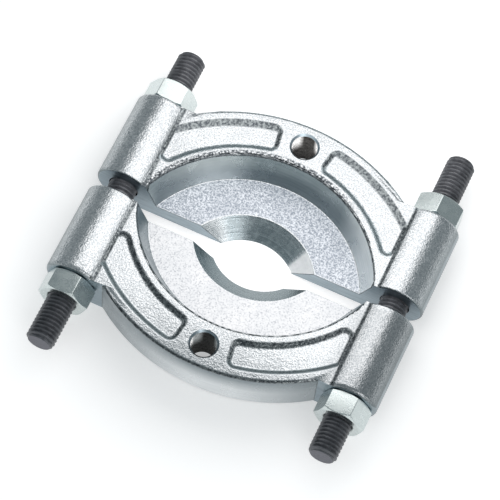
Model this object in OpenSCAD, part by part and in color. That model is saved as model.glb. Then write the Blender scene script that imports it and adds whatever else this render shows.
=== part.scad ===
// Bearing separator: two flanged jaw halves drawn together on two threaded studs.
// X runs along the split between the halves, Y along the studs, Z up from the flat underside.
// The origin is the middle of the bearing opening, on the underside.

/* [Assembly] */
// Distance between the two stud axes
stud_spacing = 140; // [130:1:170]
// Open distance between the split faces of the halves
jaw_gap = 8.8; // [2:0.1:14]

/* [Jaw half] */
// Height of the cast rim
rim_h = 24; // [21:0.5:27]
// Thickness of the flat web inside the rim
web_t = 9; // [6:0.5:12]
// Radius of the outer arc
outer_r = 92; // [89:0.5:98]
// How far the centre of the outer arc lies behind the split face
outer_offset = 28; // [24:0.5:30]
// Width of the break on the rim's upper outer edge
top_break = 0.8; // [0.4:0.2:2]
// Width of the break on the rim's lower outer edge
base_break = 0.6; // [0.4:0.2:2]
// How far the rim's square corners reach in from the stud axis
corner_reach = 20; // [17:0.5:24]

/* [Machined recess] */
// Radius of the recess wall at its upper edge
wall_top_r = 62.5; // [60:0.5:64]
// Radius of the recess wall where it meets the web
wall_base_r = 57; // [52:0.5:58]
// How far the centre of the recess lies behind the split face
wall_offset = 21.5; // [18:0.5:24]
// Width of the rounded band along the upper edge of the recess
band_w = 1; // [1:0.5:4]
// Radius of that rounded band
band_r = 4; // [4:0.5:6]

/* [Knife edge] */
// Radius of the bearing opening at the underside
bore_r = 25; // [21:0.5:28]
// Radius of the shallow cone where it meets the web
cone_r = 34; // [30:0.5:40]
// How far the centre of the opening lies behind the split face
cone_offset = 17; // [14:0.5:20]
// Height of the narrow land left on the knife edge
knife_land = 0.4; // [0.2:0.1:1]

/* [Rim pockets] */
// Depth of the cast pockets
pocket_depth = 1.5; // [1:0.5:2]
// Width of the ledge between a pocket and the recess
inner_ledge = 3.8; // [3.4:0.1:6]
// Width of the ledge between a pocket and the outer arc
outer_ledge = 4.4; // [4:0.1:6]
// Angle from the middle of the half to the end of a pocket
pocket_start = 9.3; // [9:0.1:14]
// How far a pocket runs in under its barrel
pocket_reach = 0.8; // [0.6:0.1:2]
// Corner radius of a pocket
pocket_corner_r = 4.4; // [3.6:0.2:5]
// Draft of the pocket walls
pocket_draft = 55; // [25:1:58]

/* [Puller holes] */
// Radius of the threaded wall of a puller hole
puller_hole_r = 6.2; // [4:0.1:6.5]
// Distance of a puller hole behind the split face
puller_hole_y = 52.5; // [50:0.5:55]
// Width of the countersink around a puller hole
puller_chamfer = 1; // [0.5:0.1:1.6]

/* [Stud barrels] */
// Radius of a barrel
barrel_r = 14; // [13:0.5:15]
// Length of a barrel
barrel_l = 46.2; // [42:0.2:52]
// Rounding of the barrel's outer end
barrel_end_r = 2; // [0.5:0.5:3]
// Rounding of the barrel's end at the split
barrel_split_r = 1.2; // [0.4:0.2:2]
// Clearance between a stud and its bore in the barrel, on the radius
stud_play = 0.5; // [0.2:0.1:1]

/* [Studs and nuts] */
// Nominal radius of a stud
stud_r = 7; // [6:0.5:8]
// Length of a stud
stud_l = 168; // [150:1:190]
// How far the left stud stands towards the back
left_stud_shift = -1.5; // [-4:0.5:4]
// How far the right stud stands towards the back
right_stud_shift = 3.5; // [-4:0.5:4]
// Chamfer at each end of a stud
stud_chamfer = 1.4; // [0.5:0.1:2]
// Width of a nut across its flats
nut_af = 22; // [20:0.5:24]
// Thickness of a nut
nut_t = 11.5; // [9:0.5:13]
// Angle of the chamfers on a nut's corners
nut_chamfer = 30; // [20:1:40]
// Depth of the countersink at each end of a nut's thread
nut_sink = 0.8; // [0.4:0.1:1.2]
// Radius of the flat ring on a nut's faces
nut_face_r = 10.67; // [10:0.01:11]
// Clearance kept around a nut's corners where it seats
nut_room = 1; // [0.5:0.5:2]
// Clearance between a nut and its stud, on the radius
thread_play = 0.05; // [0.03:0.01:0.1]

/* [Hidden] */
$fn = 128;
// Overlap that keeps cutting tools clear of the faces they cut
over = 1;
// Reach of the cutting blocks, larger than the whole part
reach = 300;
split_y = jaw_gap / 2;
stud_x = stud_spacing / 2;
stud_z = barrel_r;
barrel_end_y = split_y + barrel_l;
nut_corner_r = nut_af / 2 / cos(30);
// Turn of each nut about its stud, as the nuts happen to stand
turn_left_front = 66;
turn_right_front = 67;
turn_left_back = 55;
turn_right_back = 91;

// Centres of the three arcs of a half, all on its middle line
outer_cy = split_y - outer_offset;
wall_cy = split_y - wall_offset;
cone_cy = split_y - cone_offset;

// Heights and radii of the recess and its rounded band
band_drop = band_r - sqrt(band_r * band_r - band_w * band_w);
wall_top_z = rim_h - band_drop;

// Radii and side line of the pockets
pocket_in_r = wall_top_r + inner_ledge;
pocket_out_r = outer_r - outer_ledge;
crease_x = stud_x - sqrt(pow(barrel_r, 2) - pow(rim_h - stud_z, 2));
pocket_side_x = crease_x + pocket_reach;
pocket_taper = tan(pocket_draft);
// How far each corner cone reaches past its walls, so that it crosses them and isn't just tangent
corner_cross = 0.03;

// A 2D rounded corner to cut away, at the outer corner of a profile
module corner_cut(r) {
    difference() {
        square([r + over, r + over]);
        circle(r);
    }
}

// Half profile of the rim's disc, with its outer edges broken
module disc_profile() {
    polygon([
        [0, 0], [outer_r - base_break, 0], [outer_r, base_break],
        [outer_r, rim_h - top_break], [outer_r - top_break, rim_h], [0, rim_h]
    ]);
}

// The rim and web before cutting: the arc of the rim ends at square corners, flush with the barrel ends
module rim_blank() {
    intersection() {
        union() {
            translate([0, outer_cy, 0]) rotate_extrude() disc_profile();
            for (side = [-1, 1])
                translate([side * (stud_x - corner_reach / 2) - corner_reach / 2, split_y - over, 0])
                cube([corner_reach, barrel_l + over, rim_h]);
        }
        translate([-stud_x, split_y, -over]) cube([stud_spacing, reach, rim_h + 2 * over]);
    }
}

// One barrel with rounded ends, lying along Y from the split face
module barrel() {
    translate([0, split_y, stud_z]) rotate([-90, 0, 0]) rotate_extrude() difference() {
        square([barrel_r, barrel_l]);
        translate([barrel_r - barrel_end_r, barrel_l - barrel_end_r]) corner_cut(barrel_end_r);
        translate([barrel_r - barrel_split_r, barrel_split_r]) mirror([0, 1]) corner_cut(barrel_split_r);
    }
}

// The turned recess: a drafted wall up to the rounded band
module recess_cut() {
    translate([0, wall_cy, 0]) rotate_extrude() {
        polygon([
            [0, web_t], [wall_base_r, web_t], [wall_top_r, wall_top_z],
            [wall_top_r, rim_h + over], [0, rim_h + over]
        ]);
        difference() {
            translate([0, wall_top_z]) square([wall_top_r + band_w, band_drop + over]);
            translate([wall_top_r + band_w, rim_h - band_r]) circle(band_r);
        }
    }
}

// The shallow cone that leaves the web as a knife edge around the opening
module knife_cut() {
    translate([0, cone_cy, 0]) rotate_extrude() polygon([
        [0, -over], [bore_r, -over], [bore_r, knife_land],
        [cone_r, web_t], [cone_r, web_t + over], [0, web_t + over]
    ]);
}

// A conical pocket wall or corner: its radius is given at the rim's top, and it grows or shrinks downwards
module taper_disc(r, grow) {
    top = r - grow * over * pocket_taper;
    bottom = r + grow * pocket_depth * pocket_taper;
    translate([0, 0, rim_h - pocket_depth]) cylinder(h = pocket_depth + over, r1 = bottom, r2 = top);
}

// What rounds off one corner of a pocket, between the directions a and b from its centre
module corner_wedge(centre, a, b, size) {
    translate([centre[0], centre[1], 0]) difference() {
        translate([0, 0, rim_h - pocket_depth - over]) linear_extrude(pocket_depth + 3 * over)
            polygon([[0, 0], size * a, size * (a + b), size * b]);
        taper_disc(pocket_corner_r + corner_cross, -1);
    }
}

// One pocket on the +X side of a half, between two arcs and a radial end, open to the barrel
module pocket_cut() {
    c = pocket_corner_r;
    far_r = pocket_out_r - c;
    near_r = pocket_in_r + c;
    drop = wall_cy - outer_cy;
    end_dir = [sin(pocket_start), cos(pocket_start)];
    end_in = [cos(pocket_start), -sin(pocket_start)];
    // Centres of the four corner roundings, tangent to the two walls that meet there
    end_far_s = -drop * end_dir[1] + sqrt(pow(drop * end_dir[1], 2)
        - (c * c + drop * drop + 2 * c * drop * end_in[1] - far_r * far_r));
    end_near_s = sqrt(near_r * near_r - c * c);
    end_far = [0, wall_cy] + end_far_s * end_dir + c * end_in;
    end_near = [0, wall_cy] + end_near_s * end_dir + c * end_in;
    side_x = pocket_side_x - c;
    side_far = [side_x, outer_cy + sqrt(far_r * far_r - side_x * side_x)];
    side_near = [side_x, wall_cy + sqrt(near_r * near_r - side_x * side_x)];
    out = [1, 0];
    difference() {
        translate([0, outer_cy, 0]) taper_disc(pocket_out_r, -1);
        translate([0, wall_cy, 0]) taper_disc(pocket_in_r, 1);
        // Drafted side under the barrel
        translate([pocket_side_x, -reach, rim_h]) rotate([0, pocket_draft, 0])
            translate([0, 0, -reach]) cube([reach, 2 * reach, 2 * reach]);
        // Drafted radial end beside the puller hole
        translate([0, wall_cy, rim_h]) rotate([0, 0, -pocket_start]) rotate([0, -pocket_draft, 0])
            translate([-reach, -reach, -reach]) cube([reach, 2 * reach, 2 * reach]);
        corner_wedge(end_far, (end_far - [0, outer_cy]) / far_r, -end_in, 3 * c);
        corner_wedge(end_near, ([0, wall_cy] - end_near) / near_r, -end_in, 3 * c);
        corner_wedge(side_far, (side_far - [0, outer_cy]) / far_r, out, 3 * c);
        corner_wedge(side_near, ([0, wall_cy] - side_near) / near_r, out, 8 * c);
    }
}

// A puller hole through the rim, countersunk on both faces
module puller_hole_cut() {
    chamfer_r = puller_hole_r + puller_chamfer;
    translate([0, split_y + puller_hole_y, 0]) {
        translate([0, 0, -over]) cylinder(h = rim_h + 2 * over, r = puller_hole_r);
        translate([0, 0, rim_h - puller_chamfer])
            cylinder(h = puller_chamfer + over, r1 = puller_hole_r, r2 = chamfer_r + over);
        translate([0, 0, -over])
            cylinder(h = puller_chamfer + over, r1 = chamfer_r + over, r2 = puller_hole_r);
    }
}

// The back half, on the +Y side of the split
module plate_half() {
    difference() {
        union() {
            difference() {
                rim_blank();
                pocket_cut();
                mirror([1, 0, 0]) pocket_cut();
            }
            for (side = [-1, 1]) translate([side * stud_x, 0, 0]) barrel();
        }
        recess_cut();
        knife_cut();
        puller_hole_cut();
        nut_seat_cut();
        for (side = [-1, 1])
            translate([side * stud_x, split_y - over, stud_z]) rotate([-90, 0, 0])
                cylinder(h = barrel_l + 2 * over, r = stud_r + stud_play);
    }
}

// Room for the nuts beyond the barrel ends
module nut_seat_cut() {
    for (side = [-1, 1])
        translate([side * stud_x, barrel_end_y, stud_z]) rotate([-90, 0, 0])
            cylinder(h = nut_t, r = nut_corner_r + nut_room);
}

module plate_half_back() {
    color("gainsboro") plate_half();
}

module plate_half_front() {
    color("silver") rotate([0, 0, 180]) plate_half();
}

// A fully threaded stud along Y, at its thread's outside radius
module stud(side, shift) {
    color([0.16, 0.16, 0.18]) translate([side * stud_x, shift - stud_l / 2, stud_z]) rotate([-90, 0, 0])
        rotate_extrude() polygon([
            [0, 0], [stud_r - stud_chamfer, 0], [stud_r, stud_chamfer],
            [stud_r, stud_l - stud_chamfer], [stud_r - stud_chamfer, stud_l], [0, stud_l]
        ]);
}

module stud_left() {
    stud(-1, left_stud_shift);
}

module stud_right() {
    stud(1, right_stud_shift);
}

// Profile that turns the chamfers on both faces of a nut
module nut_chamfer_profile() {
    wide_r = nut_corner_r + over;
    edge_z = nut_t / 2 - (wide_r - nut_face_r) * tan(nut_chamfer);
    polygon([
        [0, -nut_t / 2], [nut_face_r, -nut_t / 2], [wide_r, -edge_z],
        [wide_r, edge_z], [nut_face_r, nut_t / 2], [0, nut_t / 2]
    ]);
}

// A hexagon nut against the outer end of a barrel, chamfered on both faces
module nut(side, end, turn) {
    nut_bore_r = stud_r + thread_play;
    color([0.55, 0.6, 0.6])
        translate([side * stud_x, end * (barrel_end_y + nut_t / 2), stud_z])
        rotate([90, 0, 0]) rotate([0, 0, turn]) difference() {
            intersection() {
                translate([0, 0, -nut_t / 2]) cylinder(h = nut_t, r = nut_corner_r, $fn = 6);
                rotate_extrude() nut_chamfer_profile();
            }
            translate([0, 0, -nut_t / 2 - over]) cylinder(h = nut_t + 2 * over, r = nut_bore_r);
            for (flip = [0, 180]) rotate([flip, 0, 0])
                translate([0, 0, nut_t / 2 - nut_sink])
                cylinder(h = nut_sink + over, r1 = nut_bore_r, r2 = nut_bore_r + nut_sink + over);
        }
}

module nut_left_front() {
    nut(-1, -1, turn_left_front);
}

module nut_left_back() {
    nut(-1, 1, turn_left_back);
}

module nut_right_front() {
    nut(1, -1, turn_right_front);
}

module nut_right_back() {
    nut(1, 1, turn_right_back);
}

plate_half_front();
plate_half_back();
stud_left();
stud_right();
nut_left_front();
nut_left_back();
nut_right_front();
nut_right_back();
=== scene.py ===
# %% [markdown]
# This lesson finishes a bearing separator: two forged, plated halves that two threaded
# studs pull together under a bearing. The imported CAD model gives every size. Blender
# adds the small roundings, the real threads, the metal finishes, the light and the camera.

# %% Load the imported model
import math

import bmesh
import bpy
from mathutils import Matrix, Vector


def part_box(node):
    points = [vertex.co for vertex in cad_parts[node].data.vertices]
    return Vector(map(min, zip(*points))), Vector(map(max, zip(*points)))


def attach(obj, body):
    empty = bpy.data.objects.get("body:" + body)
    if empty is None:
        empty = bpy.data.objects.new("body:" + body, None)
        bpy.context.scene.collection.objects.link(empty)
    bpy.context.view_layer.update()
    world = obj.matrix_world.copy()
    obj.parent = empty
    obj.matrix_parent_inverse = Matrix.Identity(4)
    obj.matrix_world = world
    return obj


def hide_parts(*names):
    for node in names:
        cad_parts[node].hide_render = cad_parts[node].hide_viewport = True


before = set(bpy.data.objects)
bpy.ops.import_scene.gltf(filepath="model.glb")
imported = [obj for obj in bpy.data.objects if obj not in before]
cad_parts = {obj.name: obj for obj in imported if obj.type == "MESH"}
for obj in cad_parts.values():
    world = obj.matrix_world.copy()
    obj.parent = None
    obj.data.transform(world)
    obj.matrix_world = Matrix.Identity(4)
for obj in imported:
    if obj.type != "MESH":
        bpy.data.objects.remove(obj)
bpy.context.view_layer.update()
MM = 0.001

# %% [markdown]
# The sizes below are the same ones that the CAD model was built with. The threads, the
# regions of each half and the tones that follow the place are laid out from them. The
# middle of the bearing opening is the origin, and a centre line's place along Y is given
# for the back half.

# %% Sizes shared with the CAD model
STUD_X = 70 * MM
STUD_Z = 14 * MM
BARREL_R = 14 * MM
BORE_R = 7.5 * MM
SPLIT_Y = 4.4 * MM
BARREL_END_Y = 50.6 * MM
RIM_H = 24 * MM
WEB_T = 9 * MM
OUTER_R = 92 * MM
OUTER_CY = SPLIT_Y - 28 * MM
WALL_CY = SPLIT_Y - 21.5 * MM
WALL_TOP_R = 62.5 * MM
WALL_BASE_R = 57 * MM
CONE_CY = SPLIT_Y - 17 * MM
CONE_R = 34 * MM
HOLE_Y = 56.9 * MM
HOLE_R = 6.2 * MM
HOLE_CHAMFER = 1 * MM
STUD_PITCH = 2 * MM
HOLE_PITCH = 1.5 * MM
CREST_R = 7 * MM
POCKET_FLOOR = RIM_H - 1.5 * MM
print("gap between the halves", round(2 * SPLIT_Y / MM, 1), "mm")

# %% [markdown]
# Every finish is procedural. A helper starts a finish with its plain values on the
# shader's own sockets, and others add noise patterns in Object coordinates, so that a
# pattern stays on the metal when a joint moves.

# %% Material helpers
MIX_FIRST, MIX_SECOND, MIX_RESULT = 6, 7, 2  # the colour sockets of a Mix node


def new_finish(name, metallic, roughness):
    """A new material, with its node tree and its Principled shader.

    The roughness is a plain value. A pattern that takes it over later varies about it.
    """
    made = bpy.data.materials.new(name)
    made.use_nodes = True
    shader = made.node_tree.nodes["Principled BSDF"]
    shader.inputs["Metallic"].default_value = metallic
    shader.inputs["Roughness"].default_value = roughness
    print("finish", name)
    return made, made.node_tree, shader


def feed(tree, socket, value):
    """Gives a socket a plain value, or links another socket to it."""
    if isinstance(value, bpy.types.NodeSocket):
        tree.links.new(value, socket)
    else:
        socket.default_value = value


def ramp(tree, value, start, end, low=0, high=1, smooth=False):
    """A number that runs from low to high while a value goes from start to end."""
    spread = tree.nodes.new("ShaderNodeMapRange")
    spread.interpolation_type = "SMOOTHSTEP" if smooth else "LINEAR"
    limits = {"From Min": start, "From Max": end, "To Min": low, "To Max": high}
    for limit, number in limits.items():
        spread.inputs[limit].default_value = number
    tree.links.new(value, spread.inputs["Value"])
    return spread.outputs["Result"]


def placed(tree, stretch=(1, 1, 1)):
    """Object coordinates times stretch, where a small number draws a pattern out."""
    source = tree.nodes.new("ShaderNodeTexCoord")
    mapping = tree.nodes.new("ShaderNodeMapping")
    mapping.inputs["Scale"].default_value = stretch
    tree.links.new(source.outputs["Object"], mapping.inputs["Vector"])
    return mapping.outputs["Vector"]


def noise(tree, vector, size, detail=3, blur=0.55, low=0.35, high=0.65):
    """A noise pattern whose grains are about size across, spread to 0 to 1."""
    texture = tree.nodes.new("ShaderNodeTexNoise")
    texture.inputs["Scale"].default_value = 1 / size
    texture.inputs["Detail"].default_value = detail
    texture.inputs["Roughness"].default_value = blur
    tree.links.new(vector, texture.inputs["Vector"])
    return ramp(tree, texture.outputs["Fac"], low, high)


def between(tree, factor, first, second):
    """A colour that goes with the factor from the first colour or socket to the second."""
    mix = tree.nodes.new("ShaderNodeMix")
    mix.data_type = "RGBA"
    for place, colour in ((MIX_FIRST, first), (MIX_SECOND, second)):
        plain = isinstance(colour, tuple)
        feed(tree, mix.inputs[place], (*colour, 1) if plain else colour)
    tree.links.new(factor, mix.inputs[0])
    return mix.outputs[MIX_RESULT]


def surface(tree, shader, colour, pattern, gloss):
    """Links a colour, and a roughness that a pattern takes from one value of gloss to the other."""
    tree.links.new(colour, shader.inputs["Base Color"])
    tree.links.new(ramp(tree, pattern, 0, 1, *gloss), shader.inputs["Roughness"])


def bumped(tree, shader, height, distance, below=None):
    """Raises the surface by a pattern, on top of another bump where one is given."""
    bump = tree.nodes.new("ShaderNodeBump")
    bump.inputs["Distance"].default_value = distance
    tree.links.new(height, bump.inputs["Height"])
    if below is not None:
        tree.links.new(below, bump.inputs["Normal"])
    tree.links.new(bump.outputs["Normal"], shader.inputs["Normal"])
    return bump.outputs["Normal"]


# %% [markdown]
# Some tones follow the place on the part and not a noise. These helpers split the Object
# coordinates into numbers, do arithmetic on them and turn them into soft bands. Taking
# the absolute value of the coordinates folds the front half onto the back one, so that
# one centre line serves both.

# %% Helpers for tones that follow the place


def maths(tree, operation, first, second=0):
    """One step of arithmetic on numbers or sockets."""
    step = tree.nodes.new("ShaderNodeMath")
    step.operation = operation
    feed(tree, step.inputs[0], first)
    feed(tree, step.inputs[1], second)
    return step.outputs[0]


def product(tree, first, *others):
    """All of the numbers or sockets multiplied."""
    for other in others:
        first = maths(tree, "MULTIPLY", first, other)
    return first


def greatest(tree, first, *others):
    """The greatest of the numbers or sockets."""
    for other in others:
        first = maths(tree, "MAXIMUM", first, other)
    return first


def band(tree, value, low, high, soft):
    """From 1 where a value lies between low and high to 0 outside, over a soft margin."""
    half = (high - low) / 2
    away = maths(tree, "ABSOLUTE", maths(tree, "SUBTRACT", value, low + half))
    return ramp(tree, away, half - soft / 2, half + soft / 2, low=1, high=0)


def place_parts(tree, shift_x=0, folded=False):
    """The three coordinates of a point, from shift_x, and all positive where folded."""
    source = tree.nodes.new("ShaderNodeTexCoord")
    move = tree.nodes.new("ShaderNodeMapping")
    move.inputs["Location"].default_value = (-shift_x, 0, 0)
    tree.links.new(source.outputs["Object"], move.inputs["Vector"])
    placed_at = move.outputs["Vector"]
    if folded:
        fold = tree.nodes.new("ShaderNodeVectorMath")
        fold.operation = "ABSOLUTE"
        tree.links.new(placed_at, fold.inputs[0])
        placed_at = fold.outputs["Vector"]
    parts = tree.nodes.new("ShaderNodeSeparateXYZ")
    tree.links.new(placed_at, parts.inputs["Vector"])
    return parts.outputs["X"], parts.outputs["Y"], parts.outputs["Z"]


def on_back_half(tree):
    """From 0 on the front half to 1 on the back half, changing within the gap."""
    along = place_parts(tree)[1]
    return ramp(tree, along, -SPLIT_Y, SPLIT_Y)


def from_axis(tree, axis_y):
    """The distance from an upright centre line that lies in the plane of X = 0."""
    source = tree.nodes.new("ShaderNodeTexCoord")
    fold = tree.nodes.new("ShaderNodeVectorMath")
    fold.operation = "ABSOLUTE"
    flat = tree.nodes.new("ShaderNodeMapping")
    flat.inputs["Location"].default_value = (0, -axis_y, 0)
    flat.inputs["Scale"].default_value = (1, 1, 0)
    away = tree.nodes.new("ShaderNodeVectorMath")
    away.operation = "LENGTH"
    tree.links.new(source.outputs["Object"], fold.inputs[0])
    tree.links.new(fold.outputs["Vector"], flat.inputs["Vector"])
    tree.links.new(flat.outputs["Vector"], away.inputs[0])
    return away.outputs["Value"]


def facing(tree, axis, start, end):
    """From 0 to 1 as the surface's direction along an axis goes from start to end."""
    source = tree.nodes.new("ShaderNodeTexCoord")
    parts = tree.nodes.new("ShaderNodeSeparateXYZ")
    tree.links.new(source.outputs["Normal"], parts.inputs["Vector"])
    return ramp(tree, parts.outputs[axis], start, end, smooth=True)


# %% [markdown]
# Shade is painted into the hollows of a forging: on the pockets' sides, in the creases along the
# barrels and, on the back half, on the rounded band round the recess. Each hollow is found by its
# place: a band of heights, or a band of distances from a centre line.

# %% Where the shade is painted
CREASE_SHIFT = 0.7 * MM  # the painted shade lies evenly to both sides of this place along X
CREASE_AT = 60.3 * MM
CREASE_HALF_W = 0.9 * MM
CREASE_LOW = POCKET_FLOOR - 2 * MM
POCKET_END_X = CREASE_AT + 2 * MM
POCKET_FOOT_R = OUTER_R - 7.6 * MM
POCKET_FOOT_FADE = 0.9 * MM
SIDE_INSET = 0.12 * MM
SIDE_FADE = 0.16 * MM
DEEP_DROP = 0.3 * MM
BAND_INSIDE, BAND_OUTSIDE = 0.2 * MM, 2.5 * MM
BAND_LIT_X, BAND_SHADED_X = 42 * MM, 22 * MM
SHADE_FADE = 0.7 * MM


def recess_band(tree):
    """From 1 on the band round the recess, on the back half's left and middle, to 0."""
    low, high = WALL_TOP_R - BAND_INSIDE, WALL_TOP_R + BAND_OUTSIDE
    edge = band(tree, from_axis(tree, WALL_CY), low, high, SHADE_FADE)
    left = ramp(tree, place_parts(tree)[0], BAND_LIT_X, BAND_SHADED_X)
    return product(tree, edge, left, on_back_half(tree))


def crease_shade(tree):
    """From 1 in the creases where the rim meets the barrels to 0 elsewhere."""
    across, _, height = place_parts(tree, CREASE_SHIFT, folded=True)
    low, high = CREASE_AT - CREASE_HALF_W, CREASE_AT + CREASE_HALF_W
    high_up = maths(tree, "GREATER_THAN", height, CREASE_LOW)
    return product(tree, band(tree, across, low, high, SHADE_FADE), high_up)


def pocket_shade(tree):
    """From 1 on the pockets' sides, and at the foot of the back half's outer ones, to 0."""
    across, _, height = place_parts(tree, CREASE_SHIFT, folded=True)
    top = RIM_H - SIDE_INSET
    side = band(tree, height, POCKET_FLOOR + SIDE_INSET, top, SIDE_FADE)
    deep = band(tree, height, POCKET_FLOOR - DEEP_DROP, top, SIDE_FADE)
    away = from_axis(tree, OUTER_CY)
    outermost = band(tree, away, POCKET_FOOT_R, OUTER_R, POCKET_FOOT_FADE)
    far_foot = product(tree, deep, outermost, on_back_half(tree))
    in_pocket = maths(tree, "LESS_THAN", across, POCKET_END_X)
    return product(tree, greatest(tree, side, far_foot), in_pocket)


# %% [markdown]
# The forged skin is the rough outside of each half: shot-blasted, then brightly plated.
# The plating is nearly a mirror, so the grain shows as dark specks where a pit tilts it away from
# the lamp. Three sizes of grain go into its bump. Shade is painted on steep sides, which take a
# dark tone while what faces up keeps the bright one, so the colour also follows the surface's own
# direction. The front right barrel is painted a little darker, as shade.

# %% Forged and plated skin
BRIGHT, BRIGHTEST = (0.62, 0.64, 0.65), (0.70, 0.72, 0.73)
SPECK_TONE = (0.42, 0.45, 0.47)
# Painted shade: the tones for steep sides, for the hollows and for the front right barrel.
STEEP_PAINTED_SHADE = (0.20, 0.23, 0.24)
PAINTED_SHADE_TONE, PALE_PAINTED_SHADE = (0.07, 0.08, 0.09), (0.27, 0.295, 0.30)
FRONT_SHADE, BACK_SHADE = (0.13, 0.16, 0.17), (0.38, 0.44, 0.46)
FRONT_RIGHT_SHADE_TONE, FRONT_RIGHT_SHADE_SHARE = (0.06, 0.065, 0.07), 0.27
FRONT_RIGHT_SHADE_X = (52 * MM, 60 * MM)
FRONT_RIGHT_SHADE_Y = (-4 * MM, -8 * MM)

forged_skin, tree, shader = new_finish("forged_skin", metallic=1.0, roughness=0.3)
vector = placed(tree)
wave = noise(tree, vector, size=7 * MM, detail=2, blur=0.5)
grain = noise(tree, vector, size=1.5 * MM, blur=0.6)
speck = noise(tree, vector, size=0.75 * MM, detail=2, blur=0.5, low=0.36, high=0.6)
specked = between(tree, speck, SPECK_TONE, between(tree, wave, BRIGHT, BRIGHTEST))
# Painted shade: steep faces take a dark tone instead of the bright one.
lit = between(tree, facing(tree, "Z", start=0.3, end=0.9), STEEP_PAINTED_SHADE, specked)

# Painted shade for the hollows: a grainy dark tone, and a smoother one, lighter on the back half,
# where a face looks along Y.
flecks = noise(tree, vector, size=1.2 * MM, detail=2, blur=0.6, low=0.4, high=0.62)
grainy = between(tree, flecks, PAINTED_SHADE_TONE, PALE_PAINTED_SHADE)
shade = between(tree, on_back_half(tree), FRONT_SHADE, BACK_SHADE)
dark = between(tree, facing(tree, "Y", start=0.03, end=0.2), grainy, shade)
hollow = greatest(tree, crease_shade(tree), pocket_shade(tree))
hollowed = between(tree, hollow, lit, dark)

# Painted shade, speckled by pits, on the back half's band round the recess.
pits = noise(tree, vector, size=1.1 * MM, detail=2, blur=0.6, low=0.62, high=0.42)
band_shaded = between(tree, product(tree, recess_band(tree), pits), hollowed, PAINTED_SHADE_TONE)
# Painted shade on the front right barrel.
across, along, _ = place_parts(tree)
near_right = product(tree, ramp(tree, across, *FRONT_RIGHT_SHADE_X), ramp(tree, along, *FRONT_RIGHT_SHADE_Y))
plated = between(tree, product(tree, near_right, FRONT_RIGHT_SHADE_SHARE), band_shaded, FRONT_RIGHT_SHADE_TONE)

surface(tree, shader, plated, grain, gloss=(0.32, 0.2))
waved = bumped(tree, shader, wave, distance=0.1 * MM)
grained = bumped(tree, shader, grain, distance=0.058 * MM, below=waved)
bumped(tree, shader, speck, distance=0.036 * MM, below=grained)

# %% [markdown]
# The turned walls of the recess are smooth. They mirror the floor of the recess and not the lamp
# above, so they look darker and a little green, and two brighter stretches on the back half are a
# painted reflection. On the outside of the rim a painted reflection is brightest low in the middle.
# One function makes both, and is given the function that lays out the bright stretches.

# %% Turned wall and rim side
# The light colours of the wall and the rim side are painted reflections.
WALL_DARK, WALL_PAINTED_REFLECTION = (0.20, 0.25, 0.27), (0.92, 0.96, 0.94)
RIM_DARK, RIM_PAINTED_REFLECTION = (0.24, 0.28, 0.30), (0.86, 0.88, 0.89)
STREAK_TONE, STREAK_SHARE = (0.52, 0.58, 0.60), 0.25
LEFT_STRETCH, RIGHT_STRETCH = (-48 * MM, -23 * MM), (27 * MM, 47 * MM)
STRETCH_FADE = 20 * MM
LEFT_SHARE, LEAST_SHARE = 0.6, 0.1
RIM_MIDDLE_X = 8 * MM
RIM_STRETCH, RIM_FADE = (-34 * MM, 34 * MM), 44 * MM
RIM_HEIGHTS = (22 * MM, 11 * MM)


def turned_finish(name, tone, dark, light):
    """A smooth turned wall; tone makes its socket for the share of the light colour, a painted
    reflection.
    """
    made, tree, shader = new_finish(name, metallic=1.0, roughness=0.3)
    streaks = noise(tree, placed(tree, stretch=(0.1, 0.1, 2)), size=1.2 * MM, blur=0.6)
    cloud = noise(tree, placed(tree), size=9 * MM)
    toned = between(tree, tone(tree), dark, light)
    streaked = between(tree, product(tree, streaks, STREAK_SHARE), toned, STREAK_TONE)
    surface(tree, shader, streaked, cloud, gloss=(0.24, 0.36))
    bumped(tree, shader, streaks, distance=0.012 * MM)
    return made


def painted_wall_reflection(tree):
    """A painted reflection: the back half's wall is bright at the right end and left of the middle.
    """
    across = place_parts(tree)[0]
    left = product(tree, band(tree, across, *LEFT_STRETCH, STRETCH_FADE), LEFT_SHARE)
    either = greatest(tree, left, ramp(tree, across, *RIGHT_STRETCH), LEAST_SHARE)
    return product(tree, either, on_back_half(tree))


def painted_rim_reflection(tree):
    """A painted reflection: the rim's outside is bright low down, about a line a little right of
    the middle.
    """
    across, _, height = place_parts(tree, RIM_MIDDLE_X)
    middle = band(tree, across, *RIM_STRETCH, RIM_FADE)
    return product(tree, middle, ramp(tree, height, *RIM_HEIGHTS))


turned_wall = turned_finish("turned_wall", painted_wall_reflection, WALL_DARK, WALL_PAINTED_REFLECTION)
rim_side = turned_finish("rim_side", painted_rim_reflection, RIM_DARK, RIM_PAINTED_REFLECTION)

# %% [markdown]
# The web's floor is pale and finely pitted. The front half's is the lighter one, with fewer pits,
# so each half has its own tones and its own share of pits.

# %% Web floors
PIT_SOFTNESS = 0.1


def web_finish(name, pit_share, pit_tone, low_tone, high_tone):
    """A pitted floor; pit_share is how much of it the pits take."""
    made, tree, shader = new_finish(name, metallic=1.0, roughness=0.4)
    vector = placed(tree)
    low, high = pit_share - PIT_SOFTNESS, pit_share + PIT_SOFTNESS
    pits = noise(tree, vector, size=0.8 * MM, blur=0.65, low=low, high=high)
    clouded = between(tree, noise(tree, vector, size=12 * MM, blur=0.5), low_tone, high_tone)
    surface(tree, shader, between(tree, pits, pit_tone, clouded), pits, gloss=(0.46, 0.32))
    bumped(tree, shader, pits, distance=0.045 * MM)
    return made


web_back = web_finish(
    "web_floor_back", 0.5,
    pit_tone=(0.24, 0.27, 0.31), low_tone=(0.50, 0.53, 0.57), high_tone=(0.60, 0.63, 0.67),
)
web_front = web_finish(
    "web_floor_front", 0.4,
    pit_tone=(0.36, 0.38, 0.41), low_tone=(0.53, 0.545, 0.56), high_tone=(0.58, 0.59, 0.60),
)

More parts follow.
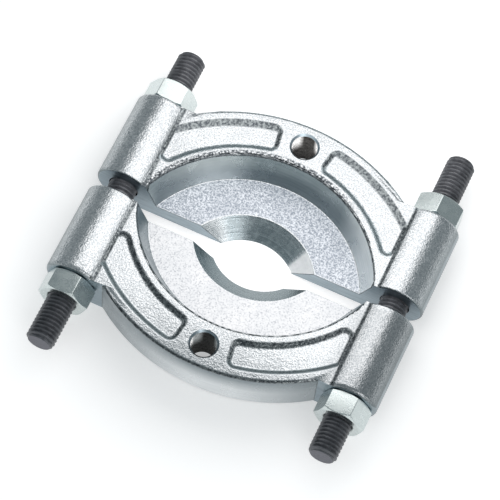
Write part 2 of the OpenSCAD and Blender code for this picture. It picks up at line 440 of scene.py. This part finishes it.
# %% [markdown]
# The knife cone leads down to the opening. It was turned last, and fine rings from the lathe draw
# the lamps out into streaks. The rings are a noise of one number, the distance from the cone's
# centre line. On the back half a bright highlight is painted on the cone's right end and a soft
# sheen on its left, and the front half's cone is painted darker, as shade. X divided by Y, both
# from the centre line, says how far round a point lies.

# %% Knife cone
RING_SIZE = 0.35 * MM
FRONT_CONE_SHADED_TONES = ((0.16, 0.205, 0.22), (0.20, 0.245, 0.26))
BACK_CONE_TONES = ((0.28, 0.33, 0.35), (0.33, 0.38, 0.40))
CONE_HIGHLIGHT_TONES = ((0.90, 0.91, 0.92), (0.98, 0.985, 0.99))
HIGHLIGHT_TURN, HIGHLIGHT_ROUGHNESS = (0.70, 0.84), 0.5
SHEEN_TURN, SHEEN_FADE, SHEEN_SHARE = (-1.6, -0.85), 0.3, 0.38


def rings_round(tree, axis_y, size):
    """Rings round an upright centre line, as a pattern from 0 to 1."""
    texture = tree.nodes.new("ShaderNodeTexNoise")
    texture.noise_dimensions = "1D"
    texture.inputs["Scale"].default_value = 1 / size
    texture.inputs["Detail"].default_value = 2
    tree.links.new(from_axis(tree, axis_y), texture.inputs["W"])
    return ramp(tree, texture.outputs["Fac"], start=0.3, end=0.7)


knife_cone, tree, shader = new_finish("knife_cone", metallic=1.0, roughness=0.24)
streak = noise(tree, placed(tree), size=2.6 * MM, blur=0.6)
across, along, _ = place_parts(tree)
back = on_back_half(tree)
turn = maths(tree, "DIVIDE", across, maths(tree, "SUBTRACT", along, CONE_CY))
# Painted highlights on the back half: bright at the cone's right end, a soft sheen on its left.
right_highlight = product(tree, ramp(tree, turn, *HIGHLIGHT_TURN), back)
sheen = product(tree, band(tree, turn, *SHEEN_TURN, SHEEN_FADE), SHEEN_SHARE, back)
# Painted shade: the front half's cone has darker tones than the back half's.
front_shaded_tone = between(tree, streak, *FRONT_CONE_SHADED_TONES)
toned = between(tree, back, front_shaded_tone, between(tree, streak, *BACK_CONE_TONES))
highlighted = between(tree, streak, *CONE_HIGHLIGHT_TONES)
coned = between(tree, greatest(tree, right_highlight, sheen), toned, highlighted)
rough = ramp(tree, streak, 0, 1, low=0.2, high=0.32)
dulled = greatest(tree, rough, product(tree, right_highlight, HIGHLIGHT_ROUGHNESS))
tree.links.new(coned, shader.inputs["Base Color"])
tree.links.new(dulled, shader.inputs["Roughness"])
bumped(tree, shader, rings_round(tree, CONE_CY, RING_SIZE), distance=0.03 * MM)

# %% [markdown]
# The faces where the halves meet, the barrel ends and the underside are milled flat. The
# cutter's marks are a noise that is drawn out along X.

# %% Milled faces
MILLED_TONES = ((0.27, 0.33, 0.37), (0.37, 0.44, 0.48))

milled_face, tree, shader = new_finish("milled_face", metallic=1.0, roughness=0.34)
marks = noise(tree, placed(tree, stretch=(0.12, 1, 1)), size=0.8 * MM, detail=2, blur=0.5)
surface(tree, shader, between(tree, marks, *MILLED_TONES), marks, gloss=(0.28, 0.4))
bumped(tree, shader, marks, distance=0.02 * MM)

# %% [markdown]
# The threads in the puller holes are cut steel. They are painted dark, as shade, with a painted
# highlight high up on the left and the right of each hole.

# %% Cut threads
THREAD_SHADE_TONES = ((0.02, 0.02, 0.019), (0.075, 0.073, 0.07))
THREAD_HIGHLIGHT_TONE = (0.86, 0.86, 0.85)
THREAD_HIGHLIGHT_X = (2.6 * MM, 4.6 * MM)
THREAD_HIGHLIGHT_HEIGHTS = (11 * MM, 18 * MM)

cut_thread, tree, shader = new_finish("cut_thread", metallic=1.0, roughness=0.3)
thread_mottle = noise(tree, placed(tree), size=1.6 * MM)
across, _, height = place_parts(tree, folded=True)
# Painted highlight high up on the left and the right; painted shade elsewhere.
thread_highlight = product(tree, ramp(tree, across, *THREAD_HIGHLIGHT_X), ramp(tree, height, *THREAD_HIGHLIGHT_HEIGHTS))
thread_shaded = between(tree, thread_mottle, *THREAD_SHADE_TONES)
surface(tree, shader, between(tree, thread_highlight, thread_shaded, THREAD_HIGHLIGHT_TONE), thread_mottle, gloss=(0.24, 0.38))
bumped(tree, shader, thread_mottle, distance=0.015 * MM)

# %% [markdown]
# The studs are blackened in a hot salt bath, which leaves a semi-matt skin with a faint
# bloom. Their ends are a little more metallic, and their bloom is finer.

# %% Blackened studs


def blackened(name, metallic, roughness, size, detail, tones, gloss):
    """A blackened steel whose bloom changes its tone, and its roughness over gloss."""
    made, tree, shader = new_finish(name, metallic, roughness)
    bloom = noise(tree, placed(tree), size, detail=detail, blur=0.6)
    surface(tree, shader, between(tree, bloom, *tones), bloom, gloss)
    bumped(tree, shader, bloom, distance=0.02 * MM)
    return made


black_oxide = blackened(
    "black_oxide", metallic=0.3, roughness=0.4, size=2.5 * MM, detail=4,
    tones=((0.10, 0.104, 0.115), (0.17, 0.175, 0.19)), gloss=(0.32, 0.48),
)
stud_end = blackened(
    "stud_end", metallic=0.5, roughness=0.42, size=0.9 * MM, detail=3,
    tones=((0.10, 0.10, 0.12), (0.18, 0.18, 0.21)), gloss=(0.36, 0.5),
)

# %% [markdown]
# The nuts have a pale, faintly green plating over machined flats, so they are hazy at a
# coarse scale and finely grained at a small one.

# %% Plated nuts
NUT_TONES = ((0.54, 0.60, 0.60), (0.62, 0.68, 0.67))
NUT_GRAIN_TONE = (0.68, 0.73, 0.72)

nut_plating, tree, shader = new_finish("nut_plating", metallic=1.0, roughness=0.26)
vector = placed(tree)
haze = noise(tree, vector, size=5 * MM)
fine = noise(tree, vector, size=0.6 * MM, detail=2, blur=0.5)
nut_tone = between(tree, fine, between(tree, haze, *NUT_TONES), NUT_GRAIN_TONE)
surface(tree, shader, nut_tone, haze, gloss=(0.22, 0.34))
bumped(tree, shader, fine, distance=0.012 * MM)

# %% [markdown]
# A half is one forging, so it stays one piece. Each face gets the finish of its region,
# which its place and its direction tell: the rough skin on top, the turned walls, the
# web, the knife cone, the milled faces and the puller hole.

# %% Which finish a face of a half has
FINISHES = {
    1: [forged_skin, turned_wall, web_back, knife_cone, milled_face, cut_thread, rim_side],
    -1: [forged_skin, turned_wall, web_front, knife_cone, milled_face, cut_thread, rim_side],
}
SKIN, WALL, WEB, CONE, MILLED, THREAD, SIDE = range(7)
NEAR = 0.05 * MM
BARREL_CLEAR = 0.5 * MM

# A face whose direction has more than TOWARD along an axis faces that way. One that has
# less than SLANTED along Z is steep, and one that has less than UPRIGHT is nearly upright.
TOWARD, SLANTED, UPRIGHT = 0.9, 0.5, 0.3


def region(centre, normal):
    """The finish of a face, from its centre and direction in the back half's frame."""
    x, y, z = centre
    from_hole = math.hypot(x, y - HOLE_Y)
    from_outer = math.hypot(x, y - OUTER_CY)
    from_wall = math.hypot(x, y - WALL_CY)
    from_cone = math.hypot(x, y - CONE_CY)
    from_stud = math.hypot(abs(x) - STUD_X, z - STUD_Z)
    if from_hole < HOLE_R + NEAR and abs(normal.z) < SLANTED:
        return THREAD
    if from_hole < HOLE_R + HOLE_CHAMFER + NEAR and abs(normal.z) < TOWARD:
        return MILLED
    if normal.y < -TOWARD and y < SPLIT_Y + NEAR:
        return MILLED
    if normal.y > TOWARD and y > BARREL_END_Y - NEAR and from_stud < BARREL_R:
        return MILLED
    if normal.z < -TOWARD:
        return MILLED
    if from_stud < BORE_R + NEAR:
        return THREAD
    if normal.z > TOWARD and abs(z - WEB_T) < NEAR and from_wall < WALL_BASE_R + NEAR:
        return WEB
    if z < WEB_T and from_cone < CONE_R + NEAR and normal.z > -SLANTED:
        return CONE
    in_recess = WEB_T - NEAR < z < POCKET_FLOOR and from_wall < WALL_TOP_R + NEAR
    if in_recess and from_stud > BARREL_R + BARREL_CLEAR:
        return WALL
    if from_outer > OUTER_R - NEAR and abs(normal.z) < UPRIGHT:
        return SIDE
    return SKIN


# %% [markdown]
# A finished piece is a mesh object at the origin, riding on its CAD body. Its finishes become its
# material slots, and it may stand for a CAD node. Where a piece is to be rounded, a Bevel modifier
# follows the edges' weights, and a Weld modifier joins the points that two roundings leave in one
# place.

# %% Helpers that finish a piece
MERGE = 0.002 * MM
FLAT_ANGLE = math.radians(0.4)
CREASE = math.radians(32)
THREAD_CREASE = math.radians(25)
ROUND_SEGMENTS = 4


def in_scene(name, data):
    """A new object in the scene that shows the data."""
    made = bpy.data.objects.new(name, data)
    bpy.context.scene.collection.objects.link(made)
    return made


def as_mesh(bm, name):
    """A mesh with the shape of a bmesh, which is freed."""
    mesh = bpy.data.meshes.new(name)
    bm.to_mesh(mesh)
    bm.free()
    return mesh


def open_edges(bm):
    """The edges that have a face on one side only."""
    return [edge for edge in bm.edges if edge.is_boundary]


def finish_piece(bm, name, body, finishes, stands_for=None, crease=CREASE, rounded=0):
    """Turns a bmesh into a piece that rides on a body, shaded smooth up to the crease angle."""
    weight = bm.edges.layers.float.get("bevel_weight_edge")
    for edge in bm.edges:
        soft = weight is not None and edge[weight] > 0
        edge.smooth = soft or not edge.is_manifold or edge.calc_face_angle(0) < crease
    for face in bm.faces:
        face.smooth = True
    mesh = as_mesh(bm, name)
    piece = in_scene(name, mesh)
    for finish in finishes:
        mesh.materials.append(finish)
    if rounded:
        bevel = piece.modifiers.new("rounded edges", "BEVEL")
        bevel.limit_method = "WEIGHT"
        bevel.width = rounded
        bevel.segments = ROUND_SEGMENTS
        bevel.material = SKIN
        bevel.use_clamp_overlap = False
        weld = piece.modifiers.new("joined corners", "WELD")
        weld.merge_threshold = MERGE
    weighted = piece.modifiers.new("face weighted normals", "WEIGHTED_NORMAL")
    weighted.keep_sharp = True
    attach(piece, body)
    if stands_for:
        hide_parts(stands_for)
    mesh.calc_loop_triangles()
    print(name, len(mesh.loop_triangles), "triangles")


def cad_copy(node):
    """A merged copy of a CAD node's mesh, with its flat faces joined up."""
    bm = bmesh.new()
    bm.from_mesh(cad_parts[node].data)
    bmesh.ops.remove_doubles(bm, verts=bm.verts, dist=MERGE)
    bmesh.ops.dissolve_limit(
        bm, angle_limit=FLAT_ANGLE, verts=bm.verts, edges=bm.edges,
        use_dissolve_boundaries=False,
    )
    bm.normal_update()
    return bm


# %% [markdown]
# The puller hole is threaded. The CAD wall stands at the thread's inner radius, so here
# the wall is taken out, each countersink gets a short lip, and the hole is joined up
# again at the thread's outer radius. The thread itself is a piece of its own.

# %% Open the puller hole to the thread's outer radius
WIDE_R = 7.05 * MM
LIP = 0.15 * MM


def join_at_radius(bm, centre, radius, inset=0):
    """Draws two open round rims to a radius, each inset from its end, and joins them."""
    grown = bmesh.ops.extrude_edge_only(bm, edges=open_edges(bm))
    for vert in (v for v in grown["geom"] if isinstance(v, bmesh.types.BMVert)):
        away = (vert.co - centre).xy.normalized() * radius
        inward = -inset if vert.co.z > RIM_H / 2 else inset
        vert.co = (centre.x + away.x, centre.y + away.y, vert.co.z + inward)
    bmesh.ops.bridge_loops(bm, edges=open_edges(bm))


def open_hole(bm, centre):
    """Takes out the hole's wall and joins its two rims at the wider radius."""
    wall = []
    for face in bm.faces:
        middle = face.calc_center_median() - centre
        if math.hypot(middle.x, middle.y) < HOLE_R + NEAR and abs(face.normal.z) < UPRIGHT:
            wall.append(face)
    bmesh.ops.delete(bm, geom=wall, context="FACES")
    join_at_radius(bm, centre, WIDE_R, LIP)
    print("puller hole opened:", len(wall), "wall faces out,", len(open_edges(bm)), "open edges")


# %% [markdown]
# Forged edges are soft and machined ones are only broken with a file. Each edge gets a
# weight, which is its share of the full rounding. The blunt edges on the rim's top and
# round the pockets' floors get a little over half, and so does the upper arc of the
# recess. The other edges get about a sixth, but those at the puller hole, beyond the
# creases and at the base keep the CAD's shape.

# %% Build the two halves
ROUND_WIDTH = 1.6 * MM
FORGED_SHARE = 0.56
MACHINED_SHARE = 0.17
CREASE_X = 58 * MM
SPLIT_MARGIN = 1 * MM
BASE_BAND = 1 * MM
BAND_DROP = 0.2 * MM
SHARP_ANGLE = math.radians(20)
STEEP_ANGLE = math.radians(60)


def on_height(edge, z):
    """Whether an edge lies level at a height."""
    return all(abs(vert.co.z - z) < NEAR for vert in edge.verts)


def recess_edge(edge, hole_y):
    """Whether an edge lies on the upper arc of the recess wall, between the creases."""
    axis = Vector((0, math.copysign(WALL_CY, -hole_y)))
    on_arc = all(abs((vert.co.xy - axis).length - WALL_TOP_R) < NEAR for vert in edge.verts)
    lowest = min(vert.co.z for vert in edge.verts)
    farthest = max(abs(vert.co.x) for vert in edge.verts)
    return on_arc and lowest > RIM_H - BAND_DROP and farthest < CREASE_X


def rounding(edge, hole):
    """The share of the full rounding that an edge of a half gets."""
    if not edge.is_manifold or edge.calc_face_angle() < SHARP_ANGLE:
        return 0
    if min((vert.co - hole).xy.length for vert in edge.verts) < HOLE_R + HOLE_CHAMFER + NEAR:
        return 0
    level = on_height(edge, RIM_H) or on_height(edge, POCKET_FLOOR)
    off_split = min(abs(vert.co.y) for vert in edge.verts) > SPLIT_Y + SPLIT_MARGIN
    if level and off_split and edge.calc_face_angle() < STEEP_ANGLE:
        return FORGED_SHARE
    if recess_edge(edge, hole.y):
        return FORGED_SHARE
    farthest = max(abs(vert.co.x) for vert in edge.verts)
    highest = max(vert.co.z for vert in edge.verts)
    return 0 if farthest > CREASE_X or highest < BASE_BAND else MACHINED_SHARE


def plate_half(node, body, name, side):
    """The finished half that stands for a CAD half; side is 1 for the back, -1 for the front."""
    bm = cad_copy(node)
    for face in bm.faces:
        middle, normal = face.calc_center_median(), face.normal
        seen_at = Vector((side * middle.x, side * middle.y, middle.z))
        seen_normal = Vector((side * normal.x, side * normal.y, normal.z))
        face.material_index = region(seen_at, seen_normal)
    hole = Vector((0, side * HOLE_Y, 0))
    open_hole(bm, hole)
    bm.normal_update()
    weight = bm.edges.layers.float.new("bevel_weight_edge")
    for edge in bm.edges:
        edge[weight] = rounding(edge, hole)
    print(name, "rounds", sum(e[weight] >= FORGED_SHARE for e in bm.edges), "forged edges and",
          sum(0 < e[weight] < FORGED_SHARE for e in bm.edges), "machined ones")
    finish_piece(bm, name, body, FINISHES[side], node, rounded=ROUND_WIDTH)


plate_half("plate_half_back", "back_half", "forged_half_back", 1)
plate_half("plate_half_front", "front_half", "forged_half_front", -1)

# %% [markdown]
# A thread is a groove that climbs one pitch a turn. One tooth of its profile is spun
# round the axis while it moves along it, and the turns are merged edge to edge. A right-
# hand thread climbs along the axis when it turns the way a right hand's fingers curl.

# %% Helpers for threads
STEPS_PER_TURN = 36
CUT_TOLERANCE = 0.0001 * MM


def tooth(root_r, crest_r, root_flat, crest_flat, pitch):
    """One pitch of a thread's outline, as (distance from the axis, place along it)."""
    crest = root_flat + (pitch - root_flat - crest_flat) / 2
    return [
        (root_r, 0), (root_r, root_flat), (crest_r, crest), (crest_r, crest + crest_flat),
        (root_r, pitch),
    ]


def everything(bm):
    """All points, edges and faces of a bmesh."""
    return list(bm.verts) + list(bm.edges) + list(bm.faces)


def spun_thread(axis, start, first_dir, profile, turns_wanted):
    """A right-hand thread of a profile, from start along the axis, of at least so many turns."""
    pitch = profile[-1][1]
    bm = bmesh.new()
    corners = [bm.verts.new(start + first_dir * r + axis * along) for r, along in profile]
    ridge = [bm.edges.new(pair) for pair in zip(corners, corners[1:])]
    bmesh.ops.spin(
        bm, geom=corners + ridge, cent=start, axis=axis, angle=2 * math.pi,
        steps=STEPS_PER_TURN, dvec=axis * (pitch / STEPS_PER_TURN),
        use_merge=False, use_duplicate=False,
    )
    turns = 1
    while turns < turns_wanted:
        copied = bmesh.ops.duplicate(bm, geom=everything(bm))
        again = [v for v in copied["geom"] if isinstance(v, bmesh.types.BMVert)]
        bmesh.ops.translate(bm, verts=again, vec=axis * pitch * turns)
        turns *= 2
    bmesh.ops.remove_doubles(bm, verts=bm.verts, dist=MERGE)
    return bm


def cut_across(bm, place, axis, clear=False):
    """Cuts the mesh square to an axis, and clears what lies beyond where asked."""
    bmesh.ops.bisect_plane(
        bm, geom=everything(bm), dist=CUT_TOLERANCE, plane_co=place, plane_no=axis,
        clear_outer=clear,
    )


# %% [markdown]
# Each stud is threaded from end to end. Its ends are cut square and then chamfered in
# the lathe, which takes the tops off the last teeth: the points there are drawn in to
# the chamfer's cone. A few cuts across give the cone enough points.

# %% Studs
ROOT_R = 5.8 * MM
STUD_TOOTH = tooth(ROOT_R, CREST_R, 0.4 * MM, 0.28 * MM, STUD_PITCH)
STUD_CHAMFER = 1.4 * MM
CHAMFER_CUTS = (0.35, 0.7, 1)
SPARE_TURNS = 3


def threaded_stud(node, body, name, first_angle):
    """A blackened stud along Y with a right-hand M14 x 2 thread, as long as its CAD node."""
    low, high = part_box(node)
    middle = (low + high) / 2
    half_l = (high.y - low.y) / 2
    along = Vector((0, 1, 0))
    first_dir = Vector((math.sin(first_angle), 0, math.cos(first_angle)))
    start = middle - along * (half_l + SPARE_TURNS / 2 * STUD_PITCH)
    turns = round(2 * half_l / STUD_PITCH) + SPARE_TURNS
    bm = spun_thread(along, start, first_dir, STUD_TOOTH, turns)
    for end in (1, -1):
        cut_across(bm, middle + along * end * half_l, along * end, clear=True)
        for share in CHAMFER_CUTS:
            cut_across(bm, middle + along * end * (half_l - share * STUD_CHAMFER), along * end)
    for vert in bm.verts:
        offset = vert.co - middle
        around = Vector((offset.x, 0, offset.z))
        limit = CREST_R - STUD_CHAMFER + half_l - abs(offset.y)
        if around.length > limit:
            around = around.normalized() * limit
            vert.co = middle + Vector((around.x, offset.y, around.z))
    caps = bmesh.ops.holes_fill(bm, edges=open_edges(bm))["faces"]
    bmesh.ops.recalc_face_normals(bm, faces=bm.faces)
    for face in caps:
        face.material_index = 1
    print(name, "caps", len(caps), "open edges", len(open_edges(bm)))
    finishes = [black_oxide, stud_end]
    finish_piece(bm, name, body, finishes, node, THREAD_CREASE)


threaded_stud("stud_left", "left_stud", "threaded_stud_left", first_angle=0.4)
threaded_stud("stud_right", "right_stud", "threaded_stud_right", first_angle=2.1)

# %% [markdown]
# The thread in a puller hole is the same tooth turned inside out. It is closed on its
# outside, a little inside the metal of the half, so that it is a solid ring of its own.

# %% Threads in the puller holes
HOLE_ROOT_R = 7.02 * MM
HOLE_CREST_R = HOLE_R + 0.02 * MM
HOLE_TOOTH = tooth(HOLE_ROOT_R, HOLE_CREST_R, 0.2 * MM, 0.4 * MM, HOLE_PITCH)
RING_OUTER_R = 7.15 * MM
RING_LOW = HOLE_CHAMFER + LIP
RING_HIGH = RIM_H - HOLE_CHAMFER - LIP


def hole_thread(body, name, side):
    """The internal thread of one puller hole, between its two countersinks."""
    up = Vector((0, 0, 1))
    axis_point = Vector((0, side * HOLE_Y, 0))
    start = axis_point + up * (RING_LOW - HOLE_PITCH)
    turns = math.ceil((RING_HIGH - RING_LOW) / HOLE_PITCH) + 2  # one to spare at each end
    bm = spun_thread(up, start, Vector((1, 0, 0)), HOLE_TOOTH, turns)
    cut_across(bm, axis_point + up * RING_HIGH, up, clear=True)
    cut_across(bm, axis_point + up * RING_LOW, -up, clear=True)
    join_at_radius(bm, axis_point, RING_OUTER_R)
    bmesh.ops.recalc_face_normals(bm, faces=bm.faces)
    print(name, "open edges", len(open_edges(bm)))
    finish_piece(bm, name, body, [cut_thread], crease=THREAD_CREASE)


hole_thread("back_half", "puller_thread_back", 1)
hole_thread("front_half", "puller_thread_front", -1)

# %% [markdown]
# The nuts keep the CAD shape: a hexagon whose corners are turned off at both faces. Their
# edges are only just broken, which gives each one a thin bright line.

# %% Nuts
NUT_BREAK = 0.25 * MM

for name, body in (
    ("nut_left_front", "left_front_nut"), ("nut_left_back", "left_back_nut"),
    ("nut_right_front", "right_front_nut"), ("nut_right_back", "right_back_nut"),
):
    bm = cad_copy(name)
    sharp = [edge for edge in bm.edges if edge.calc_face_angle() > SHARP_ANGLE]
    bmesh.ops.bevel(
        bm, geom=sharp, offset=NUT_BREAK, offset_type="OFFSET", segments=2, profile=0.5,
        affect="EDGES", clamp_overlap=False, material=-1,
    )
    finish_piece(bm, "plated_" + name, body, [nut_plating], name)

# %% [markdown]
# The part lies on a plain white table. The table glows a little to the camera and to shiny metal,
# so that it looks white. The glow is fainter under the part, where the near lamp lights the table
# already, and this paints a soft shadow there, also in the split and under the rim.

# %% Table
TABLE_HALF = 2.5
TABLE_WHITE = (0.8, 0.8, 0.8, 1)
GLOW_COLOUR = (1, 1, 1, 1)
GLOW_FADE = (60 * MM, 140 * MM)
GLOW_UNDER, GLOW_OPEN = 0.44, 0.72

bm = bmesh.new()
bmesh.ops.create_grid(bm, x_segments=1, y_segments=1, size=TABLE_HALF)
table = in_scene("table", as_mesh(bm, "table"))
table_white, tree, shader = new_finish("table_white", metallic=0, roughness=0.9)
shader.inputs["Base Color"].default_value = TABLE_WHITE
shader.inputs["Specular IOR Level"].default_value = 0
shader.inputs["Emission Color"].default_value = GLOW_COLOUR
rays = tree.nodes.new("ShaderNodeLightPath").outputs
shown = greatest(tree, rays["Is Camera Ray"], rays["Is Glossy Ray"])
# A painted shadow: the glow is fainter near the middle, under the part.
glow = ramp(tree, from_axis(tree, 0), *GLOW_FADE, GLOW_UNDER, GLOW_OPEN, smooth=True)
tree.links.new(product(tree, shown, glow), shader.inputs["Emission Strength"])
table.data.materials.append(table_white)

# %% [markdown]
# A soft lamp hangs close over the part in a dim grey room. Plating is nearly a mirror, so
# what faces the lamp looks white and what is tilted away looks dark. The lamp is hidden
# from the camera, which looks down past it. A wide lamp in front, on the right, puts the
# bright crescents on the rounded ends.

# %% Light
LAMP_COLOUR = (1, 0.965, 0.955)
LAMP_Y = 40 * MM
LAMP_Z = 72 * MM
ROOM_GREY = (0.29, 0.325, 0.34, 1)

world = bpy.data.worlds.new("grey room")
bpy.context.scene.world = world
world.use_nodes = True
room = world.node_tree.nodes["Background"]
room.inputs["Color"].default_value = ROOM_GREY
room.inputs["Strength"].default_value = 1


def softbox(name, place, aim, width, depth, radiance):
    """A rectangular area lamp of a given brightness that faces aim."""
    lamp = bpy.data.lights.new(name, "AREA")
    lamp.shape = "RECTANGLE"
    lamp.size = width
    lamp.size_y = depth
    lamp.energy = radiance * math.pi * width * depth
    lamp.color = LAMP_COLOUR
    holder = in_scene(name, lamp)
    holder.location = place
    holder.rotation_euler = (Vector(place) - Vector(aim)).to_track_quat("Z", "Y").to_euler()
    holder.visible_camera = False
    print(name, round(width / MM), "by", round(depth / MM), "mm,", round(lamp.energy, 2), "W")


softbox(
    "near softbox", place=(0, LAMP_Y, LAMP_Z), aim=(0, LAMP_Y, 0),
    width=161 * MM, depth=154 * MM, radiance=1.55,
)
softbox(
    "front lamp", place=(0.58, -0.68, 0.46), aim=(0, 0, 0.01),
    width=0.48, depth=0.2, radiance=4.5,
)

# %% [markdown]
# The camera stands where the photograph was taken from: high, a little to the right, far
# away with a long lens, and rolled by a few degrees.

# %% Camera
AZIMUTH, ELEVATION, ROLL = math.radians(18.123), math.radians(63.534), math.radians(-7.09)
AIM = Vector((-2.635, 1.485, 12)) * MM
DISTANCE = 1292.6 * MM
FOCAL_PX = 2749.45
FRAME_PX = 500
SENSOR_MM = 36
FARTHEST = 20

toward = Vector((
    math.sin(AZIMUTH) * math.cos(ELEVATION),
    -math.cos(AZIMUTH) * math.cos(ELEVATION),
    math.sin(ELEVATION),
))
right = (-toward).cross(Vector((0, 0, 1))).normalized()
right.rotate(Matrix.Rotation(ROLL, 3, -toward))
over = toward.cross(right)
camera_data = bpy.data.cameras.new("camera")
camera = in_scene("camera", camera_data)
looking = Matrix((right, over, toward)).transposed()
camera.matrix_world = Matrix.Translation(AIM + toward * DISTANCE) @ looking.to_4x4()
camera_data.sensor_width = SENSOR_MM
camera_data.lens = FOCAL_PX / FRAME_PX * SENSOR_MM
camera_data.clip_end = FARTHEST
bpy.context.scene.camera = camera
bpy.context.scene.view_settings.view_transform = "Standard"
print("lens", round(camera_data.lens, 1), "mm")
